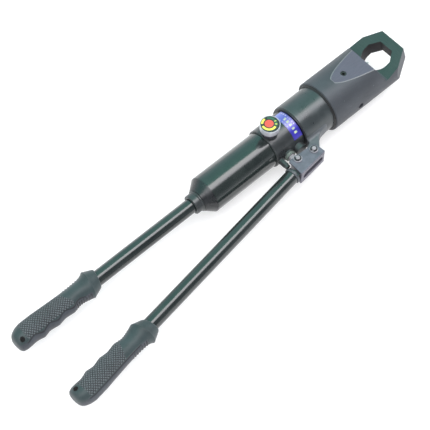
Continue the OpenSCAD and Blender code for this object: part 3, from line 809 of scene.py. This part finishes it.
wide = np.abs(gz) - (LUG_HALF - LUG_EDGE)
web = np.minimum(np.maximum(flat, wide), 0)
web = web + np.hypot(np.maximum(flat, 0), np.maximum(wide, 0)) - LUG_EDGE
lug = smooth_union(web, tube, 5.0)
lug = np.maximum(lug, 27.5 - radial)
lug = np.maximum(lug, gy + 19.5)
lug = np.maximum(lug, LUG_HOLE_R - np.hypot(gx - LUG_HOLE_X, gy - LUG_HOLE_Y))
verts, faces = surface_net(lug, low, step)
piece("cast_lug", verts * MM, faces, CASTING, "frame", 50)

# ---------------------------------------------------------------- reservoir, cap and collar
tank_r = tank_hi.z / MM
tank_in = tank_r - 1.9
tank_back, tank_front = tank_lo.x / MM, tank_hi.x / MM
lathe("reservoir_shell", [(tank_back, tank_r), (tank_front, tank_r), (tank_front, tank_in),
                          (tank_back, tank_in)],
      ENAMEL, "frame", ["reservoir_tube"], segments=180)
lathe("reservoir_cap", [(cap_back, 10.1), (cap_back, 16.4, 0.8), (cap_back + 1.2, 17.2, 0.6),
                        (tank_back - 0.9, tank_r, 0.5), (tank_back - 0.05, tank_r, 0.25),
                        (tank_back - 0.05, tank_in), (tank_back + 9, tank_r - 1.95),
                        (tank_back + 9, tank_r - 5), (tank_back + 2, 13), (tank_back + 2, 10.1)],
      CAP, "frame", ["end_cap"], segments=180)
lathe("handle_collar", [(collar_back, 10.05), (collar_back, 12.9, 0.5),
                        (collar_back + 0.6, 13.6, 0.5), (cap_back - 2.4, 13.6, 0.5),
                        (cap_back - 1.9, 15.4, 0.5), (cap_back - 0.05, 15.4, 0.4),
                        (cap_back - 0.05, 10.05)],
      BLOCK, "frame", ["collar_nut"])

# ---------------------------------------------------------------- handle tubes
PUMP_BACK, PUMP_FRONT = -436.2, -45  # ends of the pump tube along the lever
tube_in = tube_r - 2.0
for name, body, start, stop, place in (
        ("fixed_tube", "frame", tube_lo.x / MM, tube_hi.x / MM, None),
        ("pump_tube", "lever", PUMP_BACK, PUMP_FRONT, lever_frame)):
    lathe(name + "_shell", [(start, tube_r), (stop, tube_r), (stop, tube_in), (start, tube_in)],
          ENAMEL, body, [name], place=place)

# ---------------------------------------------------------------- grips
# How far each side of a grip stands out along its length, from the blind end, in millimetres.
PALM = [(0, 0.0), (0.6, 4.6), (3.0, 8.8), (7.5, 12.0), (13, 14.3), (21, 15.6), (34, 15.6), (50, 14.9),
        (65, 14.3), (80, 13.8), (94, 13.8), (104, 14.2), (109, 14.9), (113, 16.3), (116.6, 18.6)]
FINGER = [(0, 0.0), (0.4, 8.2), (1.6, 12.8), (4.4, 15.4), (10, 16.3), (16, 16.0), (23, 15.4), (29, 16.2),
          (34.5, 17.4), (39, 16.4), (45, 15.2), (51, 15.9), (57.5, 16.9), (63, 15.9), (70, 14.9),
          (76, 15.5), (82, 16.1), (88, 14.7), (95, 13.4), (102, 13.9), (109, 15.2), (116.6, 17.2)]
SIDE = [(0, 0.0), (0.5, 6.2), (2.4, 10.6), (6, 13.4), (12, 14.8), (22, 15.3), (38, 15.1), (55, 14.7),
        (75, 14.0), (94, 13.6), (104, 13.9), (110, 15.0), (116.6, 17.8)]
GRIP_CREST = 116.6  # where the flange is widest
GRIP_BORE_END = 15.5  # where the bore for the tube ends
PUMP_GRIP_X = -451.7  # blind end of the pump grip along the lever
HANG_X, HANG_Y, HANG_R = 8.5, 8.0, 3.2  # the hang hole
KNURL_PITCH, KNURL_R = 4.0, 15.0  # the radius it is laid out on
RIB_PITCH = 3.6
ON_NECK, ON_KNURL_HIGHLIGHT, IN_GROOVE_SHADE, ON_FLANK = range(4)


def curve_through(points, at):
    """A smooth curve through a table of (x, y) points that doesn't overshoot them."""
    x = np.array([p[0] for p in points], float)
    y = np.array([p[1] for p in points], float)
    slope = np.gradient(y, x)
    chord = np.diff(y) / np.diff(x)
    for i in range(1, len(x) - 1):
        if chord[i - 1] * chord[i] <= 0:
            slope[i] = 0
        else:
            slope[i] = 2 * chord[i - 1] * chord[i] / (chord[i - 1] + chord[i])
    slope[0], slope[-1] = chord[0], chord[-1]
    i = np.clip(np.searchsorted(x, at) - 1, 0, len(x) - 2)
    h = x[i + 1] - x[i]
    t = (at - x[i]) / h
    return ((1 + 2 * t) * (1 - t) ** 2 * y[i] + t * (1 - t) ** 2 * h * slope[i]
            + t * t * (3 - 2 * t) * y[i + 1] + t * t * (t - 1) * h * slope[i + 1])


def ease(value, low, high):
    """0 below low, 1 above high, with a smooth rise between."""
    t = np.clip((value - low) / (high - low), 0, 1)
    return t * t * (3 - 2 * t)


def knurl(t, theta):
    """Height of the diamond knurl, 0 to 1, and how much of it there is at a place."""
    arc = theta * KNURL_R
    ridge_a = np.abs(((t + arc) / KNURL_PITCH) % 1 - 0.5) * 2
    ridge_b = np.abs(((t - arc) / KNURL_PITCH) % 1 - 0.5) * 2
    edge = 80 - 7 * np.sin(theta)
    patch = ease(t, 13, 16) * (1 - ease(t, edge, edge + 3)) * (1 - ease(np.abs(theta), 0.82, 0.90))
    return np.minimum(np.minimum(ridge_a, ridge_b) * 1.8, 1.0), patch


def flank_groove(t, theta):
    """1 in the groove between the knurled faces and the smooth flanks, wavy on the finger side."""
    wave = 0.09 * np.cos(2 * math.pi * (t - 34.5) / 23.6) * (theta < 0)
    near = np.exp(-((np.abs(theta) - 1.0 - wave) / 0.075) ** 2)
    return near * ease(t, 8, 14) * (1 - ease(t, 98, 106))


def ribbed(t, theta):
    """Short cross ribs on the palm and finger sides of the neck."""
    return ease(t, 84, 88) * (1 - ease(t, 110, 112)) * ease(np.abs(theta), 1.06, 1.16)


def ring_row(x, radius, phi):
    """One closed row of points round a grip."""
    return np.stack([x, radius * np.cos(phi), radius * np.sin(phi)], -1)[None]


def grip(name, body, place, finger_side, replaces):
    """A moulded grip: palm side, finger scallops, slanted flange and knurled faces."""
    cols = 264
    crest, front = GRIP_CREST, grip_len - 0.9
    t = np.concatenate([np.array([0.02, 0.08, 0.2, 0.4, 0.7, 1.1, 1.6, 2.2]),
                        np.arange(2.8, 112.0, 0.42), np.linspace(112.0, crest, 14)])
    phi = 2 * math.pi * np.arange(cols) / cols
    tt, pp = np.meshgrid(t, phi, indexing="ij")
    palm_w = np.clip(np.cos(pp), 0, 1) ** 1.6
    finger_w = np.clip(-np.cos(pp), 0, 1) ** 1.6
    radius = (curve_through(SIDE, t)[:, None] * (1 - palm_w - finger_w)
              + curve_through(PALM, t)[:, None] * palm_w
              + curve_through(FINGER, t)[:, None] * finger_w)
    theta = np.arcsin(np.clip(np.cos(pp), -1, 1))
    relief, patch = knurl(tt, theta)
    radius = radius + patch * (0.75 * relief - 0.35)
    radius = radius + ribbed(tt, theta) * 0.5 * np.cos(2 * math.pi * tt / RIB_PITCH)
    radius = radius - 0.5 * flank_groove(tt, theta)
    lean = 2.65 * np.cos(pp) * ease(tt, 84, 112)
    along = tt + lean
    rows = [ring_row(along, radius, pp)[0]]
    # Rounded crest, conical front and end face.
    crest_r = radius[-1]
    crest_x = along[-1]
    end_x = crest_x + (front - crest)
    end_r = 12.2 + 0.4 * np.cos(phi)
    for f, drop in [(0.02, 0.10), (0.06, 0.12), (0.12, 0.05), (0.3, 0), (0.5, 0), (0.7, 0),
                    (0.86, 0), (0.93, 0.05), (0.97, 0.22), (0.995, 0.6)]:
        rr = crest_r * (1 - f) + end_r * f - drop + (0.25 if f < 0.1 else 0.0)
        xx = crest_x * (1 - f) + end_x * f
        rows.append(ring_row(xx, rr, phi))
    bore = tube_r + 0.03
    rows.append(ring_row(end_x, bore + 0.3, phi))
    rows.append(ring_row(end_x - 0.5, bore, phi))
    rows.append(ring_row(np.full(cols, GRIP_BORE_END), bore, phi))
    points = np.concatenate(rows, 0)
    n_rows = points.shape[0]
    points = points.reshape(-1, 3)
    points[:, 1] *= finger_side
    verts = np.concatenate([points, [[0.0, 0, 0]], [[GRIP_BORE_END, 0, 0]]])
    faces = grid_faces(n_rows, cols, True)
    tip, inner = len(points), len(points) + 1
    last = (n_rows - 1) * cols
    for k in range(cols):
        n = (k + 1) % cols
        faces.append((tip, k, n))
        faces.append((inner, last + n, last + k))
    obj = piece(name, verts * MM, faces, GRIP, body, 60, replaces, place)
    # The hang hole, cut through along Z.
    hv, hf = turned([(-30, 0), (-30, HANG_R), (30, HANG_R), (30, 0)], 64, axis="Z")
    hv = [(x + HANG_X * MM, y - finger_side * HANG_Y * MM, z) for x, y, z in hv]
    obj.data = carve(obj, [("DIFFERENCE", blank_of(hv, hf, place))])
    grip_rubber_and_painted_light(obj, place, finger_side)


def grip_rubber_and_painted_light(obj, place, finger_side):
    """Gives each face of a grip its rubber on the neck and flanks, a painted highlight on the knurl
    crests and painted shade in the grooves.
    """
    obj.data.materials.clear()
    for finish in (GRIP, KNURL_HIGHLIGHT, GROOVE_SHADE, FLANK):
        obj.data.materials.append(finish)
    count = len(obj.data.polygons)
    center, normal = np.zeros(count * 3), np.zeros(count * 3)
    obj.data.polygons.foreach_get("center", center)
    obj.data.polygons.foreach_get("normal", normal)
    turn = np.array(place.inverted())
    at = (center.reshape(-1, 3) @ turn[:3, :3].T + turn[:3, 3]) / MM
    face = normal.reshape(-1, 3) @ turn[:3, :3].T
    along, side = at[:, 0], at[:, 1] * finger_side
    rad = np.hypot(side, at[:, 2])
    theta = np.arcsin(np.clip(side / np.maximum(rad, 0.01), -1, 1))
    relief, patch = knurl(along, theta)
    kind = np.full(count, ON_NECK)
    rib = np.cos(2 * math.pi * along / RIB_PITCH)
    kind[(np.abs(theta) > 1.0) & (along < 112)] = ON_FLANK
    # Knurl crests get a painted highlight.
    kind[patch > 0.4] = ON_KNURL_HIGHLIGHT
    # Knurl valleys, the flank grooves, the rib valleys and the hang hole's wall get painted shade.
    kind[(patch > 0.4) & (relief < 0.62)] = IN_GROOVE_SHADE
    kind[flank_groove(along, theta) > 0.4] = IN_GROOVE_SHADE
    kind[(ribbed(along, theta) > 0.5) & (rib < -0.3)] = IN_GROOVE_SHADE
    in_hole = np.hypot(along - HANG_X, side + HANG_Y) < HANG_R + 0.05
    kind[in_hole & (np.abs(face[:, 2]) < 0.2)] = IN_GROOVE_SHADE
    obj.data.polygons.foreach_set("material_index", kind)
    obj.data.polygons.foreach_set("use_smooth", np.ones(count, bool))
    obj.data.set_sharp_from_angle(angle=math.radians(48))


grip("fixed_grip_moulding", "frame", Matrix.Translation((grip_lo.x, 0, 0)), 1, ["fixed_grip"])
grip("pump_grip_moulding", "lever",
     lever_frame @ Matrix.Translation((PUMP_GRIP_X * MM, 0, 0)), -1, ["pump_grip"])

# ---------------------------------------------------------------- release knob
cx, cy = release_axis.x, release_axis.y
top = knob_hi.z / MM
disc_z = top - 0.6  # floor of the shallow recess for the disc
knob_r = (knob_hi.x - knob_lo.x) / 2 / MM
profile = softened([(42, 0), (42, 4), (34, 4), (34, 7.5, 0.3), (top - 10, 7.5, 0.3),
                    (top - 10, knob_r - 0.2, 0.6), (top - 0.1, knob_r, 0.7),
                    (top, knob_r - 0.7, 0.2), (disc_z, knob_r - 0.75, 0.1), (disc_z, 0)], 0.3)
kv, kf = turned(profile, 300, axis="Z")
kv = np.array(kv)
ang = np.arctan2(kv[:, 1], kv[:, 0])
rad = np.hypot(kv[:, 0], kv[:, 1]) / MM
height = kv[:, 2] / MM
# Thirty flutes round the knob's rim.
flute = np.clip(1 - np.abs(((np.degrees(ang) / 12) % 1 - 0.5) * 2) * 2.6, 0, 1) ** 0.5
zone = ease(rad, knob_r - 0.6, knob_r - 0.1) * ease(height, top - 9.6, top - 9.0)
zone = zone * (1 - ease(height, top - 1.4, top - 0.7))
shrink = 1 - 0.45 * flute * zone / np.maximum(rad, 1)
kv[:, 0] = kv[:, 0] * shrink + cx
kv[:, 1] = kv[:, 1] * shrink + cy
piece("release_knob", kv, kf, KNOB, "release", 38, ["knob"])

dome = [(disc_z, 0), (disc_z, knob_r - 1.0), (top - 0.25, knob_r - 1.0, 0.3)]
dome += [(top - 0.25 + 0.22 * (1 - (q / 12.0) ** 2), q, 0) for q in (9, 6, 5.6)]
dome += [(top + 0.22, 5.2, 0.2), (top + 0.34, 3.0, 0), (top + 0.38, 0)]
dv, df = turned(softened(dome, 0.2), 120, axis="Z")
piece("release_disc", [(x + cx, y + cy, z) for x, y, z in dv], df, DISC, "release",
      50, ["knob_label"])

# ---------------------------------------------------------------- bent bracket of the pump lever
bm = welded(NODES["bracket"].data)
to_lever = lever_frame.inverted()


def lever_xyz(p):
    """A point in the lever's own millimetres, from its pivot."""
    q = to_lever @ p
    return q.x / MM, q.y / MM, q.z / MM


def bend_edge(e):
    """The two long outer edges where the bracket's sheet is bent."""
    a, b = (lever_xyz(v.co) for v in e.verts)
    outer = max(a[1], b[1]) < -9.5
    return outer and abs(abs(a[2]) - 12) < 0.05 and abs(abs(b[2]) - 12) < 0.05 and \
        abs(a[0] - b[0]) > 30


round_edges(bm, 1.9 * MM, 4, bend_edge)
round_edges(bm, 0.4 * MM, 2, corner_edge(33))
from_bmesh("lever_bracket", bm, [BRACKET], "lever", ["bracket"])

# Pale washers with a black clip on each, at both ends of both pins; the clips' near-black is also
# painted shade of the gap round each pin.
CLIP_Z = 13.25  # beyond this height a face belongs to a clip
for node, body in (("pivot_clips", "frame"), ("drive_clips", "lever")):
    bm = welded(NODES[node].data)
    for f in bm.faces:
        f.material_index = 1 if abs(f.calc_center_median().z) > CLIP_Z * MM else 0
    round_edges(bm, 0.18 * MM, 2, corner_edge(32))
    from_bmesh(node + "_pair", bm, [WASHER, CLIP_AND_GAP_SHADE], body, [node])

# Weld bead where the tube socket meets the bracket.
WELD_X, WELD_R = -43.5, 10.3
cols, rows = 160, 13
verts = []
for i in range(cols):
    a = 2 * math.pi * i / cols
    ripple = 0.32 * math.sin(23 * a) + 0.18 * math.sin(41 * a + 1.3)
    for k in range(rows):
        b = 2 * math.pi * k / rows
        rad = WELD_R + (0.95 + 0.25 * ripple) * math.cos(b)
        along = WELD_X + 0.35 * ripple + 1.7 * math.sin(b)
        verts.append((along * MM, rad * math.cos(a) * MM, rad * math.sin(a) * MM))
faces = []
for i in range(cols):
    n = (i + 1) % cols
    for k in range(rows):
        m = (k + 1) % rows
        faces.append((i * rows + k, n * rows + k, n * rows + m, i * rows + m))
piece("socket_weld", verts, faces, CASTING, "lever", 60, place=lever_frame)

# ---------------------------------------------------------------- finishes on the CAD nodes
for name, obj in NODES.items():
    for i, old in enumerate(obj.data.materials):
        key = old.name.split(".")[0] if old else ""
        if key in SLOT_FINISH:
            obj.data.materials[i] = SLOT_FINISH[key]
OTHER_FINISH = {"pivot_pin": PIN, "drive_pin": PIN, "plunger": PIN, "bleed_plug": BLOCK,
                "lever_socket": BLOCK, "lock_ring": SCREW}
for name, finish in OTHER_FINISH.items():
    NODES[name].data.materials[0] = finish
EDGE_WIDTH = {
    "valve_block": 0.5, "lever_socket": 0.7, "bleed_plug": 0.35, "gland_nut": 0.25,
    "bonnet_nut": 0.35, "pivot_pin": 0.25, "drive_pin": 0.25, "head_screws": 0.3,
    "plunger": 0.35, "blade": 0.12, "relief_plug": 0.25, "fixed_plug": 0.3, "pump_plug": 0.3,
    "lock_ring": 0.2,
}
for name, width in EDGE_WIDTH.items():
    break_edges(name, width * MM)

# ---------------------------------------------------------------- stage
FLOOR_HALF = 9.0
low_z = cad_box[0][2]
corners = [(-1, -1), (1, -1), (1, 1), (-1, 1)]
mesh = bpy.data.meshes.new("floor")
mesh.from_pydata([(x * FLOOR_HALF, y * FLOOR_HALF, low_z) for x, y in corners], [], [(0, 1, 2, 3)])
ground = Finish("pale_sweep", (0.50, 0.50, 0.50), 0.8)
ground.put("Base Color", ground.ramp(ground.noise(3, 3, 0.5),
                                     [(0.3, (0.49, 0.49, 0.49)), (0.7, (0.51, 0.51, 0.51))]))
ground.bump(ground.noise(900, 2, 0.5), 0.02, 0.0003)
ground.put("Emission Color", (1.0, 1.0, 1.0, 1.0))
ground.put("Emission Strength", 0.56)
mesh.materials.append(ground.material)
floor = in_scene("floor", mesh)

# Studio surroundings: a long soft box overhead, a grey-green wall on +Y, a dark one on -Y.
world = bpy.data.worlds.new("studio")
world.use_nodes = True
SCENE.world = world
tree = world.node_tree
tree.nodes.clear()


def wnode(kind, inputs=(), **props):
    """A node of the world."""
    return add_node(tree, kind, inputs, **props)


ray = wnode("ShaderNodeTexCoord").outputs["Generated"]
xyz = wnode("ShaderNodeSeparateXYZ", {0: ray}).outputs
around = wnode("ShaderNodeMath", {0: xyz[1], 1: xyz[2]}, operation="ARCTAN2").outputs[0]
turn = wnode("ShaderNodeMapRange", {0: around, 1: -math.pi, 2: math.pi, 3: 0.0, 4: 1.0}).outputs[0]
room = wnode("ShaderNodeValToRGB", {0: turn})
# Degrees round X, from straight up towards +Y, and the colour there.
stops = [(-180, (0.15, 0.15, 0.15)), (-92, (0.14, 0.145, 0.155)), (-70, (0.02, 0.021, 0.024)),
         (-30, (0.02, 0.021, 0.023)), (-21, (0.88, 0.86, 0.90)), (1, (1.0, 1.0, 1.0)),
         (5, (0.075, 0.21, 0.18)), (60, (0.08, 0.165, 0.16)), (86, (0.16, 0.19, 0.20)),
         (180, (0.16, 0.16, 0.16))]
room_color = fill_ramp(room, [((degrees + 180) / 360, color) for degrees, color in stops])
ends = wnode("ShaderNodeMath", {0: xyz[0]}, operation="ABSOLUTE").outputs[0]
ends = wnode("ShaderNodeMapRange", {0: ends, 1: 0.72, 2: 0.95, 3: 0.0, 4: 1.0}).outputs[0]
room_color = wnode("ShaderNodeMix", {0: ends, 6: room_color, 7: (0.10, 0.11, 0.12, 1)},
                   data_type="RGBA").outputs[2]
path = wnode("ShaderNodeLightPath").outputs
soft_color = wnode("ShaderNodeMix", {0: path["Is Diffuse Ray"], 6: room_color,
                                     7: (0.17, 0.17, 0.175, 1)}, data_type="RGBA").outputs[2]
studio = wnode("ShaderNodeBackground", {"Color": soft_color, "Strength": 6.0}).outputs[0]
seen = wnode("ShaderNodeBackground", {"Color": (0.93, 0.93, 0.93, 1), "Strength": 1.0}).outputs[0]
shown = wnode("ShaderNodeMixShader", {0: path["Is Camera Ray"], 1: studio, 2: seen}).outputs[0]
wnode("ShaderNodeOutputWorld", {"Surface": shown})

SCENE.view_settings.view_transform = "Standard"
